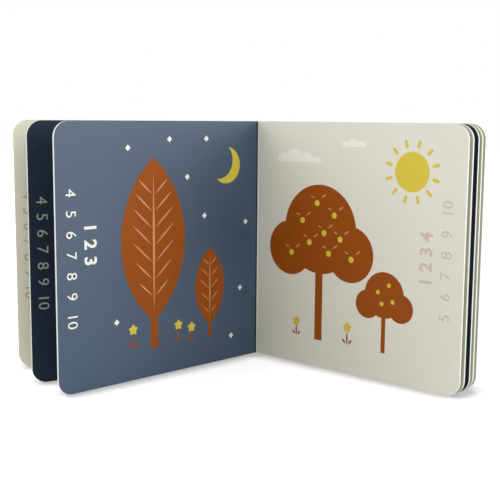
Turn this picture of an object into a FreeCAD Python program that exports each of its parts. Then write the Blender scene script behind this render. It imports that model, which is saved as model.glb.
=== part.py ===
import FreeCAD, Part
import Sketcher
import math
import os

Vector = FreeCAD.Vector
Rotation = FreeCAD.Rotation
Placement = FreeCAD.Placement

# A square board book that stands upright and open, its boards fanned out behind the open spread.
# The frame's origin is the foot of the fold in the middle of the open spread.
# +Z is up, the reader sits towards -Y, and the spine is at +Y.

# Driving dimensions, in millimetres and degrees. Each angle is how far a board is swung towards
# the reader from the X axis.
SIZES = {
    "page_width": 160.0,
    "page_height": 160.0,
    "corner_radius": 9.5,
    "board_thickness": 1.5,
    "sheet_thickness": 0.1,
    "ink_thickness": 0.05,
    "crease_width": 0.3,
    "fold_radius": 0.6,
    "cover_gap": 0.3,
    "hinge_gap": 0.5,
    "wrap_thickness": 0.5,
    "spine_bow": 3.8,
    "left_page_angle": 43.8,
    "second_left_angle": 31.7,
    "front_cover_angle": 17.8,
    "right_page_angle": 42.4,
    "second_right_angle": 41.1,
    "third_right_angle": 39.3,
    "fourth_right_angle": 38.1,
    "back_cover_angle": 37.1,
    "ground_height": 18.0,
    "sky_height": 22.0,
    "trunk_width": 6.0,
    "trunk_height": 50.0,
    "stem_height": 17.0,
    "stem_overlap": 4.0,
    "leaf_crown_width": 50.0,
    "round_crown_radius": 29.0,
    "small_crown_radius": 18.0,
    "crown_dip": 6.0,
    "moon_radius": 12.0,
    "moon_bite": 6.5,
    "sun_radius": 12.0,
    "star_radius": 2.0,
    "cover_sun_radius": 34.0,
}

# Where the printed motifs lie, as shares of the page from the fold outwards and from the foot up.
# Each page has a large tree and a small one, given with its scale against the large one.
NIGHT_TREE_SHARES = [(0.56, 1.0), (0.27, 0.5)]
DAY_TREE_SHARES = [(0.34, 1.0), (0.66, 0.5)]
MOON_SHARE = (0.18, 0.82)
SUN_SHARE = (0.77, 0.82)
STAR_SHARES = [
    (0.07, 0.58),
    (0.10, 0.30),
    (0.15, 0.10),
    (0.29, 0.93),
    (0.30, 0.62),
    (0.39, 0.78),
    (0.48, 0.93),
    (0.68, 0.90),
    (0.74, 0.24),
]

LEFT = -1
RIGHT = 1

doc = FreeCAD.newDocument("board_book")
sheet = doc.addObject("Spreadsheet::Sheet", "sizes")
for row, (alias, value) in enumerate(SIZES.items(), start=1):
    sheet.set(f"A{row}", str(value))
    sheet.setAlias(f"A{row}", alias)
doc.recompute()


def size(alias):
    return float(sheet.get(alias))


def outward(side, angle):
    """The direction from a board's fold to its fore edge."""
    turn = math.radians(angle)
    return Vector(side * math.cos(turn), -math.sin(turn), 0)


def backward(side, angle):
    """The direction from a board's face that the reader sees to its other face."""
    turn = math.radians(angle)
    return Vector(side * math.sin(turn), math.cos(turn), 0)


def heading(direction):
    return math.degrees(math.atan2(direction.y, direction.x))


class Board:
    """One board of the fan: where its front face leaves the fold, and how it is turned."""

    def __init__(self, side, angle_alias, corner):
        self.side = side
        self.angle = size(angle_alias)
        self.corner = corner
        self.out = outward(side, self.angle)
        self.back = backward(side, self.angle)

    def behind(self, distance):
        return self.corner + self.back * distance

    def frame(self, depth):
        """The frame of a layer that starts this deep under the board's front face."""
        turn = Rotation(Vector(0, 0, 1), heading(self.out))
        return Placement(self.behind(depth), turn)


def fan(side, page_angles, cover_angle):
    """The boards of one side from the open page to the cover, each one board behind the last."""
    corner = gutter
    boards = []
    for angle_alias in page_angles:
        board = Board(side, angle_alias, corner)
        boards.append(board)
        corner = board.behind(size("board_thickness"))
    cover = Board(side, cover_angle, corner)
    cover.corner = cover.behind(size("cover_gap"))
    boards.append(cover)
    return boards


gutter = Vector(0, -size("fold_radius") / 2, 0)
left_boards = fan(LEFT, ["left_page_angle", "second_left_angle"], "front_cover_angle")
right_boards = fan(
    RIGHT,
    ["right_page_angle", "second_right_angle", "third_right_angle", "fourth_right_angle"],
    "back_cover_angle",
)
left_page, second_left, front_board = left_boards
right_page, second_right, third_right, fourth_right, back_board = right_boards


def board_outline(body, start):
    """A board's outline, square at the fold and rounded at the fore edge.

    It starts this alias outwards from the fold, or at the fold itself.
    """
    sketch = body.newObject("Sketcher::SketchObject", body.Name + "_outline")
    plane = [item for item in body.Origin.OriginFeatures if item.Role == "XZ_Plane"][0]
    sketch.AttachmentSupport = [(plane, "")]
    sketch.MapMode = "FlatFace"
    inner = size(start) if start else 0.0
    width = size("page_width")
    height = size("page_height")
    radius = size("corner_radius")
    quarter = math.pi / 2
    low_centre = Vector(width - radius, radius, 0)
    high_centre = Vector(width - radius, height - radius, 0)
    axis = Vector(0, 0, 1)
    foot, low_corner, fore_edge, high_corner, head, fold_edge = sketch.addGeometry([
        Part.LineSegment(Vector(inner, 0, 0), Vector(width - radius, 0, 0)),
        Part.ArcOfCircle(Part.Circle(low_centre, axis, radius), -quarter, 0),
        Part.LineSegment(Vector(width, radius, 0), Vector(width, height - radius, 0)),
        Part.ArcOfCircle(Part.Circle(high_centre, axis, radius), 0, quarter),
        Part.LineSegment(Vector(width - radius, height, 0), Vector(inner, height, 0)),
        Part.LineSegment(Vector(inner, height, 0), Vector(inner, 0, 0)),
    ], False)
    first, last = 1, 2
    x_axis, y_axis = -1, -2
    root = (x_axis, 1)
    sketch.addConstraint([
        Sketcher.Constraint("Tangent", foot, last, low_corner, first),
        Sketcher.Constraint("Tangent", low_corner, last, fore_edge, first),
        Sketcher.Constraint("Tangent", fore_edge, last, high_corner, first),
        Sketcher.Constraint("Tangent", high_corner, last, head, first),
        Sketcher.Constraint("Coincident", head, last, fold_edge, first),
        Sketcher.Constraint("Coincident", fold_edge, last, foot, first),
        Sketcher.Constraint("Horizontal", foot),
        Sketcher.Constraint("Vertical", fore_edge),
        Sketcher.Constraint("Horizontal", head),
        Sketcher.Constraint("Vertical", fold_edge),
        Sketcher.Constraint("Equal", low_corner, high_corner),
        Sketcher.Constraint("PointOnObject", foot, first, x_axis),
    ])
    driving = {
        "corner_radius": Sketcher.Constraint("Radius", low_corner, radius),
        "page_width": Sketcher.Constraint("DistanceX", *root, fore_edge, first, width),
        "page_height": Sketcher.Constraint("DistanceY", *root, head, first, height),
    }
    if start:
        driving[start] = Sketcher.Constraint("DistanceX", *root, foot, first, inner)
    else:
        sketch.addConstraint(Sketcher.Constraint("PointOnObject", foot, first, y_axis))
    for alias, constraint in driving.items():
        index = sketch.addConstraint(constraint)
        sketch.renameConstraint(index, alias)
        sketch.setExpression("Constraints." + alias, "sizes." + alias)
    return sketch


def layer(name, board, start, depth, thickness):
    """A flat layer of a board, as an expression thick, this deep under the board's front face."""
    body = doc.addObject("PartDesign::Body", name)
    sketch = board_outline(body, start)
    pad = body.newObject("PartDesign::Pad", name + "_pad")
    pad.Profile = sketch
    pad.setExpression("Length", thickness)
    pad.Reversed = board.side == RIGHT
    body.Placement = board.frame(depth)
    return body


def core(name, board, start):
    """The white board between its two printed sheets."""
    thickness = "sizes.board_thickness - 2 * sizes.sheet_thickness"
    return layer(name, board, start, size("sheet_thickness"), thickness)


def front_sheet(name, board, start="crease_width"):
    return layer(name, board, start, 0.0, "sizes.sheet_thickness")


def back_sheet(name, board, start="crease_width"):
    depth = size("board_thickness") - size("sheet_thickness")
    return layer(name, board, start, depth, "sizes.sheet_thickness")


def fold(name, centre, start, end):
    """The bend of a page at a fold, a pie slice from one heading round to another."""
    slice_ = doc.addObject("Part::Cylinder", name)
    slice_.setExpression("Radius", "sizes.fold_radius")
    slice_.setExpression("Height", "sizes.page_height")
    slice_.Angle = (end - start) % 360
    slice_.Placement = Placement(centre, Rotation(Vector(0, 0, 1), start))
    return slice_


def fold_between(name, near, far):
    """The bend behind two neighbouring pages of one side."""
    into_near = heading(near.back * -1)
    into_far = heading(far.back)
    if near.side == LEFT:
        return fold(name, far.corner, into_near, into_far)
    return fold(name, far.corner, into_far, into_near)


def page_block():
    """The six inner boards, joined at their folds as one piece."""
    pages = [left_page, second_left, right_page, second_right, third_right, fourth_right]
    pieces = [core(f"page_board_{count}", page, None) for count, page in enumerate(pages, start=1)]
    middle = fold("middle_fold", gutter, heading(right_page.back), heading(left_page.back))
    pieces.append(middle)
    neighbours = [
        (left_page, second_left),
        (right_page, second_right),
        (second_right, third_right),
        (third_right, fourth_right),
    ]
    for count, (near, far) in enumerate(neighbours, start=1):
        pieces.append(fold_between(f"fold_{count}", near, far))
    block = doc.addObject("Part::MultiFuse", "pages")
    block.Shapes = pieces
    block.Refine = True
    return block


def crease(board):
    """Where a cover's outer face meets the spine, and the axis that the cover swings about."""
    return board.behind(size("board_thickness"))


def spine():
    """The strip of cover card behind the folds, bowed out between the two covers."""
    front_edge = crease(front_board)
    back_edge = crease(back_board)
    across = back_edge - front_edge
    half_chord = across.Length / 2
    bow = size("spine_bow")
    radius = (half_chord ** 2 + bow ** 2) / (2 * bow)
    away = Vector(-across.y, across.x, 0).normalize()
    centre = front_edge + across / 2 + away * (bow - radius)
    trim = math.degrees(size("hinge_gap") / radius)
    start = heading(back_edge - centre) + trim
    end = heading(front_edge - centre) - trim
    parts = []
    for name, depth in (("spine_outer", ""), ("spine_hollow", " - sizes.wrap_thickness")):
        slice_ = doc.addObject("Part::Cylinder", name)
        half = f"({half_chord} ^ 2 + sizes.spine_bow ^ 2) / (2 * sizes.spine_bow)"
        slice_.setExpression("Radius", half + depth)
        slice_.setExpression("Height", "sizes.page_height")
        slice_.Angle = (end - start) % 360
        slice_.Placement = Placement(centre, Rotation(Vector(0, 0, 1), start))
        parts.append(slice_)
    strip = doc.addObject("Part::Cut", "spine")
    strip.Base, strip.Tool = parts
    return strip


def ink_frame(board, outwards, height, outside=False):
    """The frame of ink printed on a board's front face, or on its outside, with local Z upright."""
    ink = size("ink_thickness")
    near = size("board_thickness") if outside else -ink
    start = near if board.side == RIGHT else -near - ink
    return board.frame(0) * Placement(Vector(outwards, start, height), Rotation())


def disc(name, frame, radius):
    """A flat disc of ink, its radius an expression."""
    shape = doc.addObject("Part::Cylinder", name)
    shape.setExpression("Radius", radius)
    shape.setExpression("Height", "sizes.ink_thickness")
    shape.Placement = frame * Placement(Vector(), Rotation(Vector(1, 0, 0), -90))
    return shape


def star(name, frame):
    """A small four-cornered star of ink."""
    shape = doc.addObject("Part::Prism", name)
    shape.Polygon = 4
    shape.setExpression("Circumradius", "sizes.star_radius")
    shape.setExpression("Height", "sizes.ink_thickness")
    shape.Placement = frame * Placement(Vector(), Rotation(Vector(1, 0, 0), -90))
    return shape


def trunk(name, board, middle, height, scale):
    """An upright bar of ink that stands on the picture's ground, its height an expression."""
    shape = doc.addObject("Part::Box", name)
    shape.setExpression("Length", f"{scale} * sizes.trunk_width")
    shape.setExpression("Width", "sizes.ink_thickness")
    shape.setExpression("Height", f"{scale} * ({height})")
    edge = middle - scale * size("trunk_width") / 2
    shape.Placement = ink_frame(board, edge, size("ground_height"))
    return shape


def leaf_crown(name, board, middle, scale):
    """A tall pointed crown, where two large discs overlap, on top of the stem."""
    room = size("page_height") - size("ground_height") - size("stem_height") - size("sky_height")
    half_height = scale * room / 2
    half_width = scale * size("leaf_crown_width") / 2
    shift = (half_height ** 2 - half_width ** 2) / (2 * half_width)
    tall = "(sizes.page_height - sizes.ground_height - sizes.stem_height - sizes.sky_height)"
    wide = "sizes.leaf_crown_width"
    radius = f"{scale} * ({tall} ^ 2 + {wide} ^ 2) / (4 * {wide})"
    level = size("ground_height") + scale * size("stem_height") + half_height
    crown = doc.addObject("Part::Common", name)
    crown.Base = disc(name + "_fold_side", ink_frame(board, middle + shift, level), radius)
    crown.Tool = disc(name + "_fore_side", ink_frame(board, middle - shift, level), radius)
    return crown


def round_crown(name, board, middle, scale):
    """A cloud-shaped crown of one large disc and two small ones, on top of the trunk."""
    large = scale * size("round_crown_radius")
    small = scale * size("small_crown_radius")
    low = size("ground_height") + scale * size("trunk_height")
    high = low + large - scale * size("crown_dip")
    top = ink_frame(board, middle, high)
    discs = [disc(name + "_top", top, f"{scale} * sizes.round_crown_radius")]
    for side in (-1, 1):
        lobe = ink_frame(board, middle + side * (large - small / 4), low + small / 2)
        discs.append(disc(name + "_lobe", lobe, f"{scale} * sizes.small_crown_radius"))
    return discs


def crescent(name, board, middle, level):
    """A moon: a disc with a like disc bitten out of it."""
    bite = size("moon_bite")
    moon = doc.addObject("Part::Cut", name)
    moon.Base = disc(name + "_full", ink_frame(board, middle, level), "sizes.moon_radius")
    bitten = ink_frame(board, middle + bite, level + bite / 2)
    moon.Tool = disc(name + "_bite", bitten, "sizes.moon_radius")
    return moon


def compound(name, shapes):
    group = doc.addObject("Part::Compound", name)
    group.Links = shapes
    return group


def page_sheets():
    """The printed sheets of the inner boards, one sub-part for each field colour."""
    slate = [
        front_sheet("sheet_left_open", left_page),
        back_sheet("sheet_second_left_back", second_left),
        back_sheet("sheet_right_back", right_page),
    ]
    navy = [
        front_sheet("sheet_second_left", second_left),
        front_sheet("sheet_third_right", third_right),
        back_sheet("sheet_third_right_back", third_right),
    ]
    beige = [
        back_sheet("sheet_left_back", left_page),
        front_sheet("sheet_right_open", right_page),
        front_sheet("sheet_second_right", second_right),
        back_sheet("sheet_second_right_back", second_right),
        front_sheet("sheet_fourth_right", fourth_right),
        back_sheet("sheet_fourth_right_back", fourth_right),
    ]
    return [
        compound("slate_sheets", slate),
        compound("navy_sheets", navy),
        compound("beige_sheets", beige),
    ]


def night_trees():
    """The left page's trees: leaf-shaped crowns on short stems."""
    shapes = []
    for across, scale in NIGHT_TREE_SHARES:
        middle = size("page_width") * across
        height = "sizes.stem_height + sizes.stem_overlap"
        shapes.append(leaf_crown("night_crown", left_page, middle, scale))
        shapes.append(trunk("night_stem", left_page, middle, height, scale))
    trees = doc.addObject("Part::MultiFuse", "night_trees")
    trees.Shapes = shapes
    return trees


def day_trees():
    """The right page's trees: cloud-shaped crowns on tall trunks."""
    shapes = []
    for across, scale in DAY_TREE_SHARES:
        middle = size("page_width") * across
        shapes += round_crown("day_crown", right_page, middle, scale)
        shapes.append(trunk("day_trunk", right_page, middle, "sizes.trunk_height", scale))
    trees = doc.addObject("Part::MultiFuse", "day_trees")
    trees.Shapes = shapes
    return trees


def sky_shapes():
    """The moon and the stars of the left page, and the sun of the right one."""
    width = size("page_width")
    height = size("page_height")
    moon_across, moon_up = MOON_SHARE
    sun_across, sun_up = SUN_SHARE
    sun_place = ink_frame(right_page, width * sun_across, height * sun_up)
    stars = []
    for across, up in STAR_SHARES:
        stars.append(star("star", ink_frame(left_page, width * across, height * up)))
    return [
        crescent("moon", left_page, width * moon_across, height * moon_up),
        disc("sun", sun_place, "sizes.sun_radius"),
        compound("stars", stars),
    ]


def cover(name, board):
    """A cover's board and the printed sheets of its two faces."""
    return [
        core(name, board, "hinge_gap"),
        front_sheet(name + "_inside_sheet", board, "hinge_gap"),
        back_sheet(name + "_outside_sheet", board, "hinge_gap"),
    ]


def cover_picture():
    """A plain sun in the middle of the front cover's outside."""
    middle = ink_frame(front_board, size("page_width") / 2, size("page_height") / 2, outside=True)
    return disc("front_cover_sun", middle, "sizes.cover_sun_radius")


sub_parts = [page_block(), spine()]
sub_parts += page_sheets()
sub_parts += [night_trees(), day_trees()]
sub_parts += sky_shapes()
sub_parts += cover("front_cover", front_board)
sub_parts.append(cover_picture())
sub_parts += cover("back_cover", back_board)

for sub_part in sub_parts:
    sub_part.Label = sub_part.Name
doc.recompute()

for item in doc.Objects:
    if "Invalid" in item.State or "Error" in item.State:
        raise RuntimeError(f"{item.Label} failed: {item.State}")
for sub_part in sub_parts:
    if sub_part.Shape.isNull() or not sub_part.Shape.isValid():
        raise RuntimeError(f"{sub_part.Label} has no valid shape")

os.makedirs("parts", exist_ok=True)
for sub_part in sub_parts:
    sub_part.Shape.exportStep(os.path.join("parts", sub_part.Label + ".step"))
    print(sub_part.Label, len(sub_part.Shape.Solids), "solids", round(sub_part.Shape.Volume, 1))
print("front cover crease", crease(front_board))
print("back cover crease", crease(back_board))
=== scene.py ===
import math

import bmesh
import bpy
from mathutils import Matrix, Vector
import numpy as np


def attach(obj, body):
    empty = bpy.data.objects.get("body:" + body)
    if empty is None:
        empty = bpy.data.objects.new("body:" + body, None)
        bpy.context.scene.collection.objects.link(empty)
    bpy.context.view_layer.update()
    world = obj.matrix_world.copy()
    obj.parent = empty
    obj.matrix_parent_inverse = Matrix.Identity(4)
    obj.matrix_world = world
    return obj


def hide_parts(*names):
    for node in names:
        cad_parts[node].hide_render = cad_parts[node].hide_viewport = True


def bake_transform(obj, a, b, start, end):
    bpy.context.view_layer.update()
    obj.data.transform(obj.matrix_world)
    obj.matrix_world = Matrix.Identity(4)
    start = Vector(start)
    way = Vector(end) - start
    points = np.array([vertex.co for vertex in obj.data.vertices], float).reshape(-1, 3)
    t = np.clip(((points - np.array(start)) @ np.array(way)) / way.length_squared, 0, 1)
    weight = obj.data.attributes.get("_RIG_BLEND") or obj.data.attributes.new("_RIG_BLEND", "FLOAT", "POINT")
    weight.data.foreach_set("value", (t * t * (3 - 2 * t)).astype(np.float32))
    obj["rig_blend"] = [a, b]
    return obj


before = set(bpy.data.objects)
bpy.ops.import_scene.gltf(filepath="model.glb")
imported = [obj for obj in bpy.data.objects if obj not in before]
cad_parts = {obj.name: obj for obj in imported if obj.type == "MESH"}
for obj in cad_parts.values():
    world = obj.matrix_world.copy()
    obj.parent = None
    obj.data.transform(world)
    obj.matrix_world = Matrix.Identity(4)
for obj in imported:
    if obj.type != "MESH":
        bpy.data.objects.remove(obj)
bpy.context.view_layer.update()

MM = 0.001
UP = Vector((0, 0, 1))
LEFT = -1
RIGHT = 1

# The book's own sizes
PAGE_WIDTH = 160 * MM
PAGE_HEIGHT = 160 * MM
CORNER_RADIUS = 9.5 * MM
BOARD_THICKNESS = 1.5 * MM
SHEET_THICKNESS = 0.1 * MM
FOLD_RADIUS = 0.6 * MM
COVER_GAP = 0.3 * MM
HINGE_GAP = 0.5 * MM
WRAP_THICKNESS = 0.5 * MM
SPINE_BOW = 3.8 * MM
# How far each board is swung towards the reader, in degrees, from the open page to the cover
LEFT_ANGLES = (43.8, 31.7, 17.8)
RIGHT_ANGLES = (42.4, 41.1, 39.3, 38.1, 37.1)

# How far printed shapes stand off their sheet: the pictures' own ink, and the marks on top of it
INK_RELIEF = 0.05 * MM
MARK_RELIEF = 0.08 * MM

# The photograph's view, fitted to the edges of the eight boards
CAMERA_PLACE = Vector((-4.84, -650.0, 163.66)) * MM
CAMERA_PITCH = math.radians(8.02)
CAMERA_ROLL = math.radians(0.448)
CAMERA_LENS = 68.68

# The soft boxes of light: place, width and height in metres, and watts
LAMPS = {
    "left_overhead_lamp": ((-0.9, -0.35, 0.95), 0.8, 0.8, 3.4),
    "left_back_lamp": ((-1.0, 0.3, 0.75), 0.8, 0.8, 4.4),
    "left_side_lamp": ((-1.2, -0.55, 0.35), 0.8, 0.8, 2.0),
    "right_side_lamp": ((1.2, -0.55, 0.35), 0.8, 0.8, 7.3),
    "right_low_lamp": ((1.3, -0.1, 0.45), 0.8, 0.6, 4.0),
    "front_lamp": ((0, -1.2, 0.8), 0.9, 0.7, 4.9),
}
LAMPS_AIM = Vector((0, -0.03, 0.08))
ROOM_LIGHT = 0.30

# The layout of the printed pages, in millimetres
PAGE = PAGE_WIDTH / MM
GROUND = 18
STEM = 17
SKY = 22
LARGE_DIGITS = 8.4
SMALL_DIGITS = 6.8
HEAVY = 0.028
# Each leaf-shaped tree: its share of the way out, its scale, and its veins' width and pairs
NIGHT_TREES = ((0.56, 1.0, 1.6, 7), (0.27, 0.5, 1.0, 5))
SUN_PLACE = (0.77 * PAGE, 0.82 * PAGE)

# The inks, sheets and board, as 0 to 255 values
PRINT_COLOURS = {
    "slate_blue": (60, 80, 103),
    "navy": (18, 34, 55),
    # crease: painted shade, a dark ink for the shadow in the middle fold
    "crease": (32, 41, 48),
    "beige": (224, 222, 207),
    "warm_cream": (242, 238, 212),
    "straw": (224, 223, 184),
    "stone": (193, 192, 185),
    "rust": (150, 74, 8),
    "pale_rust": (205, 138, 88),
    "yellow": (214, 192, 50),
    "cream": (238, 236, 226),
    "tan": (205, 191, 172),
    "grey": (150, 153, 152),
    "olive": (196, 190, 152),
    "white_board": (235, 236, 230),
}


def linear(name):
    """A print colour as the shader takes it, from its written 0 to 255 values."""
    channels = []
    for value in PRINT_COLOURS[name]:
        share = value / 255
        low = share <= 0.04045
        channels.append(share / 12.92 if low else ((share + 0.055) / 1.055) ** 2.4)
    return (*channels, 1.0)


class Board:
    """One board of the fan, and the directions that its printed page is laid out in."""

    def __init__(self, side, angle, corner, body):
        turn = math.radians(angle)
        self.side = side
        self.out = Vector((side * math.cos(turn), -math.sin(turn), 0))
        self.back = Vector((side * math.sin(turn), math.cos(turn), 0))
        self.corner = corner
        self.body = body

    def spot(self, outwards, up, depth):
        """The point this far from the fold, above the foot and under the front face."""
        return self.corner + self.out * outwards + self.back * depth + UP * up


def fan(side, angles, cover_body):
    """The boards of one side, from the open page back to the cover."""
    corner = GUTTER
    boards = []
    for angle in angles[:-1]:
        board = Board(side, angle, corner, "book_block")
        boards.append(board)
        corner = board.spot(0, 0, BOARD_THICKNESS)
    cover = Board(side, angles[-1], corner, cover_body)
    cover.corner = cover.spot(0, 0, COVER_GAP)
    boards.append(cover)
    return boards


GUTTER = Vector((0, -FOLD_RADIUS / 2, 0))
left_boards = fan(LEFT, LEFT_ANGLES, "front_cover_board")
right_boards = fan(RIGHT, RIGHT_ANGLES, "back_cover_board")
left_page, second_left, front_board = left_boards
right_page, second_right, third_right, fourth_right, back_board = right_boards


class Face:
    """One printed face of a board."""

    def __init__(self, board, outside=False):
        self.board = board
        self.outside = outside

    def spot(self, outwards, up, proud):
        """The point this far from the fold, above the foot and off the face."""
        depth = BOARD_THICKNESS + proud if self.outside else -proud
        return self.board.spot(outwards, up, depth)


# The view and the studio

def make_camera():
    lens = bpy.data.cameras.new("reader_view")
    lens.lens = CAMERA_LENS
    lens.sensor_width = 36
    lens.clip_start = 0.01
    camera = bpy.data.objects.new("reader_view", lens)
    bpy.context.scene.collection.objects.link(camera)
    aim = Matrix.Rotation(math.pi / 2 - CAMERA_PITCH, 4, "X")
    roll = Matrix.Rotation(CAMERA_ROLL, 4, "Z")
    camera.matrix_world = Matrix.Translation(CAMERA_PLACE) @ aim @ roll
    bpy.context.scene.camera = camera


def soft_lamp(name, place, width, height, watts):
    """A soft box of light that faces the book."""
    data = bpy.data.lights.new(name, "AREA")
    data.shape = "RECTANGLE"
    data.size = width
    data.size_y = height
    data.energy = watts
    lamp = bpy.data.objects.new(name, data)
    bpy.context.scene.collection.objects.link(lamp)
    aim = LAMPS_AIM - Vector(place)
    lamp.location = place
    lamp.rotation_euler = aim.to_track_quat("-Z", "Y").to_euler()


def make_room():
    """An even white room, dimmer where it lights matt surfaces than where it is seen."""
    world = bpy.data.worlds.new("white_room")
    bpy.context.scene.world = world
    world.use_nodes = True
    tree = world.node_tree
    link = tree.links.new
    lights = tree.nodes["Background"]
    lights.inputs["Color"].default_value = (1, 1, 1, 1)
    lights.inputs["Strength"].default_value = ROOM_LIGHT
    seen = tree.nodes.new("ShaderNodeBackground")
    seen.inputs["Color"].default_value = (1, 1, 1, 1)
    seen.inputs["Strength"].default_value = 1.0
    path = tree.nodes.new("ShaderNodeLightPath")
    mirrored = tree.nodes.new("ShaderNodeMath")
    mirrored.operation = "MAXIMUM"
    direct = tree.nodes.new("ShaderNodeMath")
    direct.operation = "MAXIMUM"
    mix = tree.nodes.new("ShaderNodeMixShader")
    link(path.outputs["Is Glossy Ray"], mirrored.inputs[0])
    link(path.outputs["Is Transmission Ray"], mirrored.inputs[1])
    link(mirrored.outputs[0], direct.inputs[0])
    link(path.outputs["Is Camera Ray"], direct.inputs[1])
    link(direct.outputs[0], mix.inputs["Fac"])
    link(lights.outputs[0], mix.inputs[1])
    link(seen.outputs[0], mix.inputs[2])
    link(mix.outputs[0], tree.nodes["World Output"].inputs["Surface"])


def table_glow(tree):
    """A glow that lifts the table towards white, the more the further it is from the book."""
    place = tree.nodes.new("ShaderNodeTexCoord")
    distance = tree.nodes.new("ShaderNodeVectorMath")
    distance.operation = "LENGTH"
    far = tree.nodes.new("ShaderNodeMapRange")
    far.inputs["From Min"].default_value = 0.2
    far.inputs["From Max"].default_value = 0.9
    far.inputs["To Min"].default_value = 0.55
    far.inputs["To Max"].default_value = 1.0
    glow = tree.nodes.new("ShaderNodeEmission")
    glow.inputs["Color"].default_value = (1, 1, 1, 1)
    tree.links.new(place.outputs["Object"], distance.inputs[0])
    tree.links.new(distance.outputs["Value"], far.inputs["Value"])
    tree.links.new(far.outputs["Result"], glow.inputs["Strength"])
    return glow.outputs[0]


def contact_shade(tree):
    """The share of its brightness that the table keeps, least where the boards touch it."""
    nearby = tree.nodes.new("ShaderNodeAmbientOcclusion")
    nearby.samples = 16
    nearby.inputs["Distance"].default_value = 15 * MM
    shade = sum_of(tree, "POWER", nearby.outputs["AO"], 1.25)
    return sum_of(tree, "MAXIMUM", shade, 0.5)


def make_table():
    """The white table. It shows a little brighter than it is lit, and keeps the book's shadow."""
    bpy.ops.mesh.primitive_plane_add(size=8, location=(0, 0, 0))
    table = bpy.context.object
    table.name = "white_table"
    material, tree, paint = start_finish("white_table")
    paint.inputs["Base Color"].default_value = (0.9, 0.9, 0.9, 1)
    paint.inputs["Roughness"].default_value = 0.9
    paint.inputs["Specular IOR Level"].default_value = 0.1
    link = tree.links.new
    bright = tree.nodes.new("ShaderNodeAddShader")
    dark = tree.nodes.new("ShaderNodeEmission")
    dark.inputs["Strength"].default_value = 0.0
    shaded = tree.nodes.new("ShaderNodeMixShader")
    path = tree.nodes.new("ShaderNodeLightPath")
    seen = tree.nodes.new("ShaderNodeMixShader")
    link(paint.outputs[0], bright.inputs[0])
    link(table_glow(tree), bright.inputs[1])
    link(contact_shade(tree), shaded.inputs["Fac"])
    link(dark.outputs[0], shaded.inputs[1])
    link(bright.outputs[0], shaded.inputs[2])
    link(path.outputs["Is Camera Ray"], seen.inputs["Fac"])
    link(paint.outputs[0], seen.inputs[1])
    link(shaded.outputs[0], seen.inputs[2])
    link(seen.outputs[0], tree.nodes["Material Output"].inputs["Surface"])
    table.data.materials.append(material)


def make_studio():
    make_room()
    make_table()
    for name, (place, width, height, watts) in LAMPS.items():
        soft_lamp(name, place, width, height, watts)


# Surface effects that several finishes share

def group_tree(name, inputs, outputs):
    """An empty shader group with these named inputs and outputs."""
    tree = bpy.data.node_groups.new(name, "ShaderNodeTree")
    kinds = {"value": "NodeSocketFloat", "colour": "NodeSocketColor"}
    for label, kind in inputs.items():
        tree.interface.new_socket(label, in_out="INPUT", socket_type=kinds[kind])
    for label, kind in outputs.items():
        tree.interface.new_socket(label, in_out="OUTPUT", socket_type=kinds[kind])
    return tree, tree.nodes.new("NodeGroupInput"), tree.nodes.new("NodeGroupOutput")


def sum_of(tree, operation, first, second=0.0, clamp=False):
    """The result of a sum on two values or sockets."""
    node = tree.nodes.new("ShaderNodeMath")
    node.operation = operation
    node.use_clamp = clamp
    for socket, value in zip(node.inputs, (first, second)):
        if isinstance(value, (int, float)):
            socket.default_value = value
        else:
            tree.links.new(value, socket)
    return node.outputs[0]


def noise(tree, cells, detail=3.0):
    """Noise over the object's own metres, this many cells to the metre."""
    place = tree.nodes.new("ShaderNodeTexCoord")
    node = tree.nodes.new("ShaderNodeTexNoise")
    node.inputs["Scale"].default_value = cells
    node.inputs["Detail"].default_value = detail
    node.inputs["Roughness"].default_value = 0.55
    tree.links.new(place.outputs["Object"], node.inputs["Vector"])
    return node.outputs["Fac"]


def make_paper_tooth():
    """The relief of a laminated sheet: fine tooth over slow waves of glue and board."""
    tree, given, made = group_tree("paper_tooth", {"Waves": "value"}, {"Height": "value"})
    fine = sum_of(tree, "MULTIPLY", noise(tree, cells=5200), 0.35)
    slow = sum_of(tree, "MULTIPLY", noise(tree, cells=240, detail=1.0), given.outputs["Waves"])
    tree.links.new(sum_of(tree, "ADD", fine, slow), made.inputs["Height"])
    return tree


def make_uneven_print():
    """A print colour that drifts a little lighter and darker over the sheet."""
    inputs = {"Colour": "colour", "Amount": "value"}
    tree, given, made = group_tree("uneven_print", inputs, {"Colour": "colour"})
    cloud = sum_of(tree, "SUBTRACT", noise(tree, cells=38, detail=2.0), 0.5)
    grain = sum_of(tree, "SUBTRACT", noise(tree, cells=2400, detail=2.0), 0.5)
    drift = sum_of(tree, "ADD", cloud, sum_of(tree, "MULTIPLY", grain, 0.8))
    value = sum_of(tree, "ADD", sum_of(tree, "MULTIPLY", drift, given.outputs["Amount"]), 1.0)
    shade = tree.nodes.new("ShaderNodeHueSaturation")
    tree.links.new(value, shade.inputs["Value"])
    tree.links.new(given.outputs["Colour"], shade.inputs["Color"])
    tree.links.new(shade.outputs["Color"], made.inputs["Colour"])
    return tree


def make_matt_film():
    """The roughness of a matt film, slightly shinier where hands have polished it."""
    inputs = {"Roughness": "value", "Polish": "value"}
    tree, given, made = group_tree("matt_film", inputs, {"Roughness": "value"})
    touched = sum_of(tree, "SUBTRACT", noise(tree, cells=24, detail=3.0), 0.5)
    change = sum_of(tree, "MULTIPLY", touched, given.outputs["Polish"])
    rough = sum_of(tree, "ADD", given.outputs["Roughness"], change)
    tree.links.new(rough, made.inputs["Roughness"])
    return tree


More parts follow.
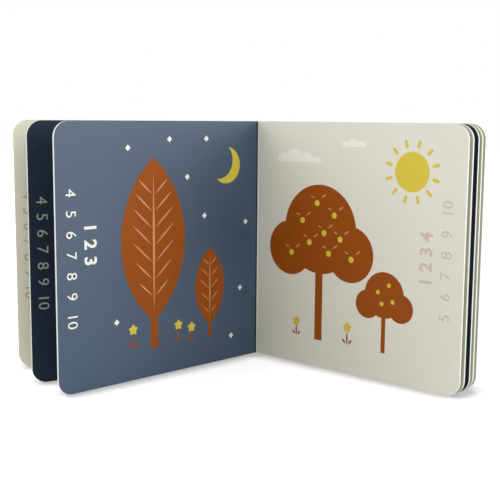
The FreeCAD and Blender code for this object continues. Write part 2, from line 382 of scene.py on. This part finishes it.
def make_bare_rim():
    """Where a sheet's cut edge shows bare board, patchy, from the rim mark of its points."""
    tree, given, made = group_tree("bare_rim", {"Reach": "value"}, {"Mask": "value"})
    rim = tree.nodes.new("ShaderNodeAttribute")
    rim.attribute_name = "rim"
    patches = sum_of(tree, "MULTIPLY", noise(tree, cells=900, detail=4.0), 1.3)
    reached = sum_of(tree, "SUBTRACT", rim.outputs["Fac"], patches)
    spread = sum_of(tree, "ADD", reached, given.outputs["Reach"])
    mask = sum_of(tree, "MULTIPLY", spread, 3.0, clamp=True)
    tree.links.new(mask, made.inputs["Mask"])
    return tree


def make_board_layers():
    """The pressed layers of a die-cut board edge, running along the board."""
    outputs = {"Shade": "value", "Height": "value"}
    tree, given, made = group_tree("board_layers", {"Depth": "value"}, outputs)
    across = tree.nodes.new("ShaderNodeAttribute")
    across.attribute_name = "depth"
    wobble = sum_of(tree, "MULTIPLY", noise(tree, cells=260, detail=2.0), 1.6)
    lines = sum_of(tree, "ADD", sum_of(tree, "MULTIPLY", across.outputs["Fac"], 42.0), wobble)
    stripes = sum_of(tree, "MULTIPLY", sum_of(tree, "SINE", lines), 0.5)
    fibres = sum_of(tree, "MULTIPLY", noise(tree, cells=3800, detail=4.0), 0.9)
    height = sum_of(tree, "ADD", stripes, fibres)
    tree.links.new(sum_of(tree, "MULTIPLY", height, given.outputs["Depth"]), made.inputs["Shade"])
    tree.links.new(height, made.inputs["Height"])
    return tree


# The book's finishes

def place_group(tree, group, **values):
    node = tree.nodes.new("ShaderNodeGroup")
    node.node_tree = group
    for label, value in values.items():
        node.inputs[label].default_value = value
    return node


def start_finish(name):
    material = bpy.data.materials.new(name)
    material.use_nodes = True
    return material, material.node_tree, material.node_tree.nodes["Principled BSDF"]


def add_relief(tree, height, strength, distance):
    bump = tree.nodes.new("ShaderNodeBump")
    bump.inputs["Strength"].default_value = strength
    bump.inputs["Distance"].default_value = distance
    tree.links.new(height, bump.inputs["Height"])
    tree.links.new(bump.outputs["Normal"], tree.nodes["Principled BSDF"].inputs["Normal"])


def printed(name, colour, drift=0.05, rough=0.5, gloss=0.5, bare=None):
    """Ink on coated paper under a matt film, bare at the cut rim where bare is given."""
    material, tree, surface = start_finish(name)
    surface.inputs["Specular IOR Level"].default_value = gloss
    ink = place_group(tree, uneven_print, Colour=linear(colour), Amount=drift)
    result = ink.outputs["Colour"]
    if bare is not None:
        worn = place_group(tree, bare_rim, Reach=bare)
        mix = tree.nodes.new("ShaderNodeMix")
        mix.data_type = "RGBA"
        tree.links.new(worn.outputs["Mask"], mix.inputs["Factor"])
        tree.links.new(result, mix.inputs["A"])
        mix.inputs["B"].default_value = linear("white_board")
        result = mix.outputs["Result"]
    tree.links.new(result, surface.inputs["Base Color"])
    film = place_group(tree, matt_film, Roughness=rough, Polish=0.12)
    tree.links.new(film.outputs["Roughness"], surface.inputs["Roughness"])
    tooth = place_group(tree, paper_tooth, Waves=1.2)
    add_relief(tree, tooth.outputs["Height"], 0.15, 0.06 * MM)
    return material


def cut_board(name):
    """White board where it was cut: matt, fibrous and layered."""
    material, tree, surface = start_finish(name)
    surface.inputs["Roughness"].default_value = 0.85
    surface.inputs["Specular IOR Level"].default_value = 0.2
    layers = place_group(tree, board_layers, Depth=0.06)
    shade = tree.nodes.new("ShaderNodeHueSaturation")
    shade.inputs["Color"].default_value = linear("white_board")
    value = sum_of(tree, "SUBTRACT", 1.03, layers.outputs["Shade"])
    tree.links.new(value, shade.inputs["Value"])
    tree.links.new(shade.outputs["Color"], surface.inputs["Base Color"])
    add_relief(tree, layers.outputs["Height"], 0.35, 0.06 * MM)
    return material


paper_tooth = make_paper_tooth()
uneven_print = make_uneven_print()
matt_film = make_matt_film()
bare_rim = make_bare_rim()
board_layers = make_board_layers()

white_board = cut_board("white_board_edge")
slate_print = printed("slate_blue_print", "slate_blue", bare=-0.25)
navy_print = printed("navy_print", "navy", gloss=0.25, bare=-0.25)
beige_print = printed("beige_print", "beige", drift=0.03)
cream_print = printed("cream_print", "warm_cream", drift=0.03)
straw_print = printed("straw_print", "straw", drift=0.03)
stone_print = printed("stone_print", "stone", drift=0.03)
rust_ink = printed("rust_ink", "rust", drift=0.12, gloss=0.15)
pale_rust_ink = printed("pale_rust_ink", "pale_rust", drift=0.08)
yellow_ink = printed("yellow_ink", "yellow", drift=0.08)
cream_ink = printed("cream_ink", "cream", drift=0.03)
tan_ink = printed("tan_ink", "tan", drift=0.04)
grey_ink = printed("grey_ink", "grey", drift=0.06)
olive_ink = printed("olive_ink", "olive", drift=0.04)
# Painted shade: a dark ink that stands in for the shadow in the middle fold.
crease_painted_shade = printed("crease_painted_shade", "crease", drift=0.1, rough=0.7, gloss=0.2)


# Boards and sheets

def new_mesh():
    """An empty mesh whose points carry a rim mark and a share of the board's depth."""
    mesh = bmesh.new()
    mesh.verts.layers.float.new("rim")
    mesh.verts.layers.float.new("depth")
    return mesh


def finish_piece(name, mesh, finish, body, nodes=()):
    """Turns a finished mesh into a piece of the book that rides on a body."""
    bmesh.ops.recalc_face_normals(mesh, faces=mesh.faces)
    data = bpy.data.meshes.new(name)
    mesh.to_mesh(data)
    mesh.free()
    piece = bpy.data.objects.new(name, data)
    bpy.context.scene.collection.objects.link(piece)
    data.materials.append(finish)
    if nodes:
        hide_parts(*nodes)
    if body:
        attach(piece, body)
    return piece


def stations(inner, inset):
    """Places along a board's lower edge, from the fold to the fore edge: (outwards, up)."""
    square = PAGE_WIDTH - CORNER_RADIUS
    reach = CORNER_RADIUS - inset
    places = []
    for share in (0, 0.25, 0.5, 0.75):
        places.append((inner + (square - inner) * share, inset))
    for step in range(13):
        turn = math.pi / 2 * step / 12
        places.append((square + reach * math.sin(turn), CORNER_RADIUS - reach * math.cos(turn)))
    return places


def add_slab(mesh, board, inner, rings):
    """A closed slab of a board. Each ring is a depth, an inset from the outline and a rim mark."""
    rim_mark = mesh.verts.layers.float["rim"]
    depth_mark = mesh.verts.layers.float["depth"]
    lower = []
    upper = []
    for depth, inset, rim in rings:
        low_row = []
        high_row = []
        for outwards, low in stations(inner, inset):
            for row, up in ((low_row, low), (high_row, PAGE_HEIGHT - low)):
                point = mesh.verts.new(board.spot(outwards, up, depth))
                point[rim_mark] = rim
                point[depth_mark] = depth / BOARD_THICKNESS
                row.append(point)
        lower.append(low_row)
        upper.append(high_row)
    last = len(lower[0]) - 1
    for near, far in zip(range(len(rings) - 1), range(1, len(rings))):
        for rows in (lower, upper):
            for step in range(last):
                mesh.faces.new((rows[near][step], rows[near][step + 1],
                                rows[far][step + 1], rows[far][step]))
        for step in (0, last):
            mesh.faces.new((lower[near][step], upper[near][step],
                            upper[far][step], lower[far][step]))
    for ring in (0, -1):
        for step in range(last):
            mesh.faces.new((lower[ring][step], lower[ring][step + 1],
                            upper[ring][step + 1], upper[ring][step]))


# The cut edge of the board pulls in a little between its two faces.
CORE_RINGS = (
    (SHEET_THICKNESS, 0.0, 0.0),
    (0.22 * BOARD_THICKNESS, 0.03 * MM, 0.0),
    (0.5 * BOARD_THICKNESS, 0.045 * MM, 0.0),
    (0.78 * BOARD_THICKNESS, 0.03 * MM, 0.0),
    (BOARD_THICKNESS - SHEET_THICKNESS, 0.0, 0.0),
)
# The cutting die rolls the printed sheet over at its rim.
FRONT_SHEET_RINGS = (
    (0.0, 0.6 * MM, 0.0),
    (0.0, 0.1 * MM, 0.5),
    (0.02 * MM, 0.025 * MM, 1.0),
    (0.06 * MM, 0.0, 1.0),
    (SHEET_THICKNESS, 0.0, 1.0),
)
BACK_SHEET_RINGS = tuple((BOARD_THICKNESS - depth, inset, rim)
                         for depth, inset, rim in FRONT_SHEET_RINGS)


def heading(direction):
    return math.atan2(direction.y, direction.x)


def add_prism(mesh, outline):
    """An upright closed prism of the book's height over an outline on the floor."""
    low = [mesh.verts.new(point) for point in outline]
    high = [mesh.verts.new(point + UP * PAGE_HEIGHT) for point in outline]
    for first in range(len(outline)):
        second = (first + 1) % len(outline)
        mesh.faces.new((low[first], low[second], high[second], high[first]))
    mesh.faces.new(low)
    mesh.faces.new(high)


def add_fold(mesh, centre, start, end):
    """The bend of the board behind a fold, a pie slice from one heading round to another."""
    sweep = (end - start) % (2 * math.pi)
    steps = 12
    outline = [centre]
    for step in range(steps + 1):
        turn = start + sweep * step / steps
        outline.append(centre + Vector((math.cos(turn), math.sin(turn), 0)) * FOLD_RADIUS)
    add_prism(mesh, outline)


def make_page_block():
    """The six white inner boards, one glued block."""
    mesh = new_mesh()
    for page in left_boards[:-1] + right_boards[:-1]:
        add_slab(mesh, page, 0.0, CORE_RINGS)
    add_fold(mesh, GUTTER, heading(right_page.back), heading(left_page.back))
    add_fold(mesh, second_left.corner, heading(-left_page.back), heading(second_left.back))
    for near, far in zip(right_boards[:3], right_boards[1:4]):
        add_fold(mesh, far.corner, heading(far.back), heading(-near.back))
    finish_piece("page_boards", mesh, white_board, "book_block", ["pages"])


def make_sheets(name, fronts, backs, finish, nodes):
    """Printed sheets of one colour, each a board and how far from the fold its print starts."""
    mesh = new_mesh()
    for board, start in fronts:
        add_slab(mesh, board, start, FRONT_SHEET_RINGS)
    for board, start in backs:
        add_slab(mesh, board, start, BACK_SHEET_RINGS)
    body = (fronts + backs)[0][0].body
    finish_piece(name, mesh, finish, body, nodes)


def make_page_sheets():
    crease = 0.3 * MM
    open_left = 0.12 * MM
    open_right = 1.0 * MM
    make_sheets("slate_pages", [(left_page, open_left)],
                [(second_left, crease), (right_page, crease)],
                slate_print, ["slate_sheets"])
    make_sheets("navy_pages", [(second_left, crease), (third_right, crease)],
                [(third_right, crease)], navy_print, ["navy_sheets"])
    make_sheets("beige_page", [(right_page, open_right)], [], beige_print,
                ["beige_sheets"])
    make_sheets("straw_pages", [(second_right, crease), (fourth_right, crease)],
                [(left_page, crease), (second_right, crease), (fourth_right, crease)],
                straw_print, [])


# Sections in the middle fold, in millimetres outwards from it and under a page's face. The last is a strip
# of painted shade beside the bead.
BEAD_ON_LEFT = ((0.02, 0.06), (0.14, 0.0))
BEAD_ON_RIGHT = ((0.2, -0.2), (0.42, -0.22), (0.7, -0.15), (0.98, -0.02), (1.04, 0.06), (0.3, 0.09))
PAINTED_FOLD_SHADE = ((0.14, 0.05), (0.14, -0.03), (0.9, -0.03), (1.3, -0.01), (1.3, 0.05))


def at_foot(board, section):
    return [board.spot(outwards * MM, 0, depth * MM) for outwards, depth in section]


def make_gutter():
    """The bead of bare board in the middle fold, and a dark strip of painted shade beside it."""
    bead = new_mesh()
    add_prism(bead, at_foot(left_page, BEAD_ON_LEFT) + at_foot(right_page, BEAD_ON_RIGHT))
    finish_piece("gutter_bead", bead, white_board, "book_block")
    # Painted shade: a dark strip beside the bead stands in for the shadow in the fold.
    line = new_mesh()
    add_prism(line, at_foot(left_page, PAINTED_FOLD_SHADE))
    finish_piece("gutter_painted_shade", line, crease_painted_shade, "book_block")


def make_cover(board, name, inside_print):
    """A cover's white board and the printed sheets of its two faces."""
    mesh = new_mesh()
    add_slab(mesh, board, HINGE_GAP, CORE_RINGS)
    finish_piece(name + "_board", mesh, white_board, board.body, [name])
    make_sheets(name + "_inside", [(board, HINGE_GAP)], [], inside_print,
                [name + "_inside_sheet"])
    make_sheets(name + "_outside", [], [(board, HINGE_GAP)], slate_print,
                [name + "_outside_sheet"])


# The spine

def spine_arc():
    """The centre, radius and two end headings of the spine's bow, from crease to crease."""
    front_edge = front_board.spot(0, 0, BOARD_THICKNESS)
    back_edge = back_board.spot(0, 0, BOARD_THICKNESS)
    across = back_edge - front_edge
    half_chord = across.length / 2
    radius = (half_chord ** 2 + SPINE_BOW ** 2) / (2 * SPINE_BOW)
    away = Vector((-across.y, across.x, 0)).normalized()
    centre = front_edge + across / 2 + away * (SPINE_BOW - radius)
    trim = HINGE_GAP / radius
    start = heading(back_edge - centre) + trim
    sweep = (heading(front_edge - centre) - trim - start) % (2 * math.pi)
    return centre, radius, start, sweep


def on_arc(centre, radius, turn):
    return centre + Vector((math.cos(turn), math.sin(turn), 0)) * radius


def make_spine():
    """The card strip over the folds. Its upper and lower edges are rolled by the cut."""
    centre, radius, start, sweep = spine_arc()
    steps = 40
    profile = ((0.0, 0.35 * MM), (0.0, 0.06 * MM), (0.05 * MM, 0.0),
               (WRAP_THICKNESS - 0.05 * MM, 0.0), (WRAP_THICKNESS, 0.06 * MM))
    mesh = new_mesh()
    rim_mark = mesh.verts.layers.float["rim"]
    columns = []
    for step in range(steps + 1):
        turn = start + sweep * step / steps
        loop = [(depth, inset) for depth, inset in profile]
        loop += [(depth, PAGE_HEIGHT - inset) for depth, inset in reversed(profile)]
        column = []
        for place, (depth, up) in enumerate(loop):
            point = mesh.verts.new(on_arc(centre, radius - depth, turn) + UP * up)
            point[rim_mark] = 0.0 if place in (0, len(loop) - 1) else 1.0
            column.append(point)
        columns.append(column)
    count = len(columns[0])
    for near, far in zip(columns, columns[1:]):
        for place in range(count):
            following = (place + 1) % count
            mesh.faces.new((near[place], near[following], far[following], far[place]))
    mesh.faces.new(columns[0])
    mesh.faces.new(columns[-1])
    finish_piece("spine_strip", mesh, slate_print, "book_block", ["spine"])
    return (on_arc(centre, radius, start + sweep), on_arc(centre, radius, start))


def make_hinge_paper(name, board, spine_end):
    """The cover paper that bends over the hinge, from the spine strip to the cover."""
    cover_start = board.spot(HINGE_GAP, 0, BOARD_THICKNESS)
    inner_start = board.spot(HINGE_GAP, 0, BOARD_THICKNESS - SHEET_THICKNESS)
    crease = board.spot(0, 0, BOARD_THICKNESS)
    inwards = (GUTTER - crease).normalized()
    score = crease + inwards * 0.12 * MM
    outline = []
    for share in (0, 0.35, 0.7):
        outline.append(spine_end.lerp(score, share))
    outline.append(score)
    for share in (0.3, 0.65, 1):
        outline.append(score.lerp(cover_start, share))
    inner = [point + inwards * SHEET_THICKNESS for point in outline[:-1]] + [inner_start]
    mesh = new_mesh()
    add_prism(mesh, outline + inner[::-1])
    piece = finish_piece(name, mesh, slate_print, None)
    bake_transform(piece, "book_block", board.body, start=tuple(spine_end), end=tuple(cover_start))


# Printed pictures

def moved(outline, across, up, turn=0.0):
    """An outline turned and carried to a place on the page."""
    turn_cos = math.cos(turn)
    turn_sin = math.sin(turn)
    return [(across + x * turn_cos - y * turn_sin, up + x * turn_sin + y * turn_cos)
            for x, y in outline]


def spot_outline(radius, steps=20):
    return [(radius * math.cos(math.tau * step / steps), radius * math.sin(math.tau * step / steps))
            for step in range(steps)]


def stroke(length, width):
    """A brush stroke along X from the origin, pointed at both ends."""
    steps = 10
    upper = []
    for step in range(steps + 1):
        share = step / steps
        upper.append((length * share, width / 2 * math.sin(math.pi * share)))
    return upper + [(x, -y) for x, y in upper[-2:0:-1]]


def bar(length, width):
    """A bar along X from the origin, with rounded ends."""
    radius = width / 2
    outline = []
    for middle, start in ((length - radius, -90), (radius, 90)):
        for step in range(7):
            turn = math.radians(start + 30 * step)
            outline.append((middle + radius * math.cos(turn), radius * math.sin(turn)))
    return outline


def blossom(radius, petals):
    """A flower head with rounded petals, one of them at the top."""
    steps = petals * 8
    outline = []
    for step in range(steps):
        turn = math.tau * step / steps
        reach = radius * (0.83 + 0.17 * math.cos(petals * (turn - math.pi / 2)))
        outline.append((reach * math.cos(turn), reach * math.sin(turn)))
    return outline


def cloud(discs):
    """A cloud with a level base, the upper outline of some discs: (middle, radius)."""
    left = min(middle - radius for middle, radius in discs)
    right = max(middle + radius for middle, radius in discs)
    steps = 60
    outline = []
    for step in range(steps + 1):
        x = left + (right - left) * (1 - math.cos(math.pi * step / steps)) / 2
        tops = [radius ** 2 - (x - middle) ** 2 for middle, radius in discs]
        outline.append((x, math.sqrt(max(max(tops), 0))))
    return outline[1:-1] + [(right, 0), (left, 0)]


def print_shapes(name, face, outlines, finish, on_ink=False):
    """Closed shapes of one ink on a page. Outlines are in millimetres, outwards and up."""
    mesh = new_mesh()
    foot, top = (INK_RELIEF, MARK_RELIEF) if on_ink else (0.0, INK_RELIEF)
    for outline in outlines:
        low = [mesh.verts.new(face.spot(x * MM, y * MM, foot)) for x, y in outline]
        high = [mesh.verts.new(face.spot(x * MM, y * MM, top)) for x, y in outline]
        for first in range(len(outline)):
            second = (first + 1) % len(outline)
            mesh.faces.new((low[first], low[second], high[second], high[first]))
        caps = [mesh.faces.new(low), mesh.faces.new(high)]
        for cap in caps:
            cap.normal_update()
        bmesh.ops.triangulate(mesh, faces=caps)
    finish_piece(name, mesh, finish, face.board.body)


def set_row(text, weight, spacing):
    """A row of raised digits in the type's own units, with its length and its height."""
    font = bpy.data.curves.new("digits", "FONT")
    font.body = text
    font.align_x = "CENTER"
    font.offset = weight
    font.extrude = 1.0
    font.resolution_u = 5
    font.space_word = spacing
    row = bpy.data.objects.new("digits", font)
    bpy.context.scene.collection.objects.link(row)
    graph = bpy.context.evaluated_depsgraph_get()
    flat = bpy.data.meshes.new_from_object(row.evaluated_get(graph))
    bpy.data.objects.remove(row)
    bpy.data.curves.remove(font)
    mesh = new_mesh()
    mesh.from_mesh(flat)
    bpy.data.meshes.remove(flat)
    bmesh.ops.remove_doubles(mesh, verts=mesh.verts, dist=1e-5)
    along = [point.co.x for point in mesh.verts]
    return mesh, max(along) - min(along), max(point.co.y for point in mesh.verts)


def print_numbers(name, face, text, height, length, baseline, middle, finish, weight=0.0):
    """A row of numbers along the fore edge, its digits' tops towards the fold.

    It reads down on the left boards and up on the right ones. Sizes are in millimetres, and
    the gaps between the numbers are as wide as the length of the row asks.
    """
    narrow, narrow_length, tall = set_row(text, weight, 1.0)
    wide, wide_length, tall = set_row(text, weight, 2.0)
    narrow.free()
    wide.free()
    scale = height / tall
    spacing = 1.0 + (length / scale - narrow_length) / (wide_length - narrow_length)
    mesh = set_row(text, weight, spacing)[0]
    for point in mesh.verts:
        outwards = (baseline - point.co.y * scale) * MM
        up = (middle + face.board.side * point.co.x * scale) * MM
        proud = INK_RELIEF if point.co.z > 0 else 0.0
        point.co = face.spot(outwards, up, proud)
    finish_piece(name, mesh, finish, face.board.body)


def leaf_veins(middle, foot, length, width, pairs):
    """A midrib and its pairs of side veins for a leaf-shaped crown."""
    outlines = [moved(stroke(length * 0.86, width), middle, foot + length * 0.05, math.pi / 2)]
    for pair in range(pairs):
        share = 0.16 + 0.62 * pair / (pairs - 1)
        reach = length * 0.2 * math.sin(math.pi * (share * 0.86 + 0.1))
        for side in (-1, 1):
            turn = math.pi / 2 - side * math.radians(48)
            start = middle + side * width * 0.75
            outlines.append(moved(stroke(reach, width * 0.7), start, foot + length * share, turn))
    return outlines


def sun_rays(across, up, inner, length, count, width):
    outlines = []
    for ray in range(count):
        turn = math.tau * (ray + 0.5) / count
        start_x = across + inner * math.cos(turn)
        start_y = up + inner * math.sin(turn)
        outlines.append(moved(bar(length, width), start_x, start_y, turn))
    return outlines


def flower_stems(places):
    outlines = []
    for across, up, tall in places:
        outlines.append(moved(stroke(tall, 1.3), across, up, math.pi / 2))
        for side in (-1, 1):
            turn = math.pi / 2 - side * math.radians(40)
            start = across + side * 1.1
            outlines.append(moved(stroke(tall * 0.42, 1.5), start, up + tall * 0.12, turn))
    return outlines


def print_flowers(page, face, places):
    """Flowers along the ground, each with its place and its stem's height."""
    print_shapes(page + "_flower_stems", face, flower_stems(places), rust_ink)
    heads = [moved(blossom(3.4, 5), x, y + tall + 2.0) for x, y, tall in places]
    print_shapes(page + "_flower_heads", face, heads, yellow_ink)


def make_night_page():
    page = Face(left_page)
    veins = []
    for share, scale, width, pairs in NIGHT_TREES:
        crown = scale * (PAGE - GROUND - STEM - SKY)
        veins += leaf_veins(share * PAGE, GROUND + scale * STEM, crown, width, pairs)
    print_shapes("night_tree_veins", page, veins, pale_rust_ink, on_ink=True)
    print_flowers("night", page, ((70, 19, 9), (106, 19, 11), (59, 18, 7)))
    print_numbers("left_page_large_numbers", page, "1 2 3", LARGE_DIGITS, length=23,
                  baseline=140.5, middle=88, finish=cream_ink, weight=HEAVY)
    print_numbers("left_page_small_numbers", page, "4 5 6 7 8 9 10", SMALL_DIGITS, length=82,
                  baseline=153, middle=80, finish=cream_ink)


def make_day_page():
    page = Face(right_page)
    large_crown = ((40, 96), (52, 108), (66, 101), (58, 89), (46, 82), (71, 86), (31, 74),
                   (80, 74), (62, 76))
    small_crown = ((101, 56), (109, 61), (112, 51), (104, 49))
    berries = [moved(spot_outline(2.0), x, y) for x, y in large_crown]
    berries += [moved(spot_outline(1.4), x, y) for x, y in small_crown]
    print_shapes("day_tree_berries", page, berries, yellow_ink, on_ink=True)
    strokes = []
    for x, y in large_crown:
        strokes.append(moved(stroke(5, 1.1), x + 3.2, y + 3.4, math.radians(35)))
        strokes.append(moved(stroke(4, 1.0), x - 5.5, y + 4.6, math.radians(-20)))
    print_shapes("day_tree_strokes", page, strokes, pale_rust_ink, on_ink=True)
    rays = sun_rays(*SUN_PLACE, inner=14.5, length=5, count=12, width=2.0)
    print_shapes("sun_rays", page, rays, yellow_ink)
    clouds = [moved(cloud(((0, 6), (9, 8.5), (19, 6.5), (27, 4))), 24, 134),
              moved(cloud(((0, 3.5), (6, 5), (12, 3.5))), 74, 145)]
    print_shapes("day_clouds", page, clouds, cream_ink)
    print_flowers("day", page, ((36, 18, 8), (78, 18, 10)))
    print_numbers("right_page_large_numbers", page, "1 2 3 4", LARGE_DIGITS, length=31,
                  baseline=138.5, middle=80, finish=tan_ink, weight=HEAVY)
    print_numbers("right_page_small_numbers", page, "5 6 7 8 9 10", SMALL_DIGITS, length=71,
                  baseline=151.5, middle=80, finish=tan_ink)


def sprig(across, up, tall, pairs):
    """An upright stem with pairs of narrow leaves."""
    outlines = [moved(stroke(tall, 1.8), across, up, math.pi / 2)]
    for pair in range(pairs):
        start = up + tall * (0.2 + 0.66 * pair / (pairs - 1))
        for side in (-1, 1):
            turn = math.pi / 2 - side * math.radians(42)
            leaf = stroke(tall * 0.3, tall * 0.12)
            outlines.append(moved(leaf, across + side * 1.4, start, turn))
    return outlines


def scattered(radius, places):
    return [moved(spot_outline(radius, 14), x, y) for x, y in places]


def dot_rows():
    """Rows of dots over a whole page, every other row set half a step along."""
    places = [(22 + 16 * column + (8 if row % 2 else 0), 24 + 14 * row)
              for row in range(9) for column in range(7)]
    return scattered(1.5, places)


def print_falling_leaves(name, face):
    """Rust leaves with pale midribs, blown over a page."""
    leaves = ((36, 118, 20), (70, 132, -35), (104, 112, 50), (128, 82, -10), (92, 72, 30),
              (54, 80, -50), (30, 50, 5), (68, 34, 40), (110, 40, -25))
    rib = [(2.5 + along, aside) for along, aside in stroke(15, 0.9)]
    shapes = []
    ribs = []
    for x, y, degrees in leaves:
        turn = math.radians(degrees)
        shapes.append(moved(stroke(20, 10), x, y, turn))
        ribs.append(moved(rib, x, y, turn))
    print_shapes(name, face, shapes, rust_ink)
    print_shapes(name + "_ribs", face, ribs, pale_rust_ink, on_ink=True)


def make_other_pages():
    print_shapes("first_page_sprigs", Face(left_page, outside=True),
                 sprig(64, 14, 50, 5) + sprig(100, 14, 38, 4) + sprig(132, 14, 28, 3), rust_ink)
    second = Face(second_left)
    print_numbers("second_page_numbers", second, "4 5 6 7 8 9 10", SMALL_DIGITS, length=69,
                  baseline=155, middle=80, finish=grey_ink)
    print_shapes("second_page_stars", second,
                 scattered(1.3, ((24, 120), (48, 138), (60, 96), (88, 126), (104, 88), (118, 140),
                                 (128, 112), (36, 84), (80, 66), (112, 54))), cream_ink)
    print_falling_leaves("second_page_leaves", Face(second_left, outside=True))
    inside = Face(front_board)
    print_numbers("cover_inside_numbers", inside, "4 5 6 7 8 9 10", SMALL_DIGITS, length=69,
                  baseline=155, middle=80, finish=olive_ink)
    print_shapes("front_cover_inside_dots", inside, dot_rows(), olive_ink)
    print_falling_leaves("last_page_leaves", Face(fourth_right, outside=True))
    print_shapes("back_cover_inside_dots", Face(back_board), dot_rows(), cream_ink)


def make_cover_prints():
    front = Face(front_board, outside=True)
    rays = sun_rays(PAGE / 2, PAGE / 2, inner=39, length=10, count=20, width=2.6)
    print_shapes("front_cover_rays", front, rays, yellow_ink)
    print_shapes("front_cover_sprigs", front, sprig(22, 12, 38, 4) + sprig(138, 12, 38, 4),
                 rust_ink)
    print_shapes("front_cover_dots", front,
                 scattered(1.5, ((22, 140), (40, 128), (18, 112), (58, 142), (102, 143),
                                 (122, 128), (140, 140), (142, 112), (50, 22), (110, 22),
                                 (80, 16), (66, 12), (94, 12))), cream_ink)
    back = Face(back_board, outside=True)
    print_shapes("back_cover_leaf", back, [moved(stroke(40, 20), 80, 64, math.pi / 2),
                                           moved(bar(12, 1.6), 80, 54, math.pi / 2)],
                 rust_ink)
    print_shapes("back_cover_leaf_veins", back, leaf_veins(80, 64, 40, 0.9, 5), pale_rust_ink,
                 on_ink=True)
    print_shapes("back_cover_dots", back,
                 scattered(1.5, [(x, 44) for x in (60, 70, 80, 90, 100)]), cream_ink)


def ink_picture_nodes():
    """The pictures' main shapes are nodes of the frame, and get their inks."""
    inks = {"night_trees": rust_ink, "day_trees": rust_ink, "moon": yellow_ink,
            "sun": yellow_ink, "stars": cream_ink, "front_cover_sun": yellow_ink}
    for node, ink in inks.items():
        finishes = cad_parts[node].data.materials
        finishes.clear()
        finishes.append(ink)


make_camera()
make_studio()
make_page_block()
make_page_sheets()
make_gutter()
make_cover(front_board, "front_cover", cream_print)
make_cover(back_board, "back_cover", stone_print)
front_spine_end, back_spine_end = make_spine()
make_hinge_paper("front_hinge_paper", front_board, front_spine_end)
make_hinge_paper("back_hinge_paper", back_board, back_spine_end)
make_night_page()
make_day_page()
make_other_pages()
make_cover_prints()
ink_picture_nodes()

bpy.context.scene.view_settings.view_transform = "Standard"
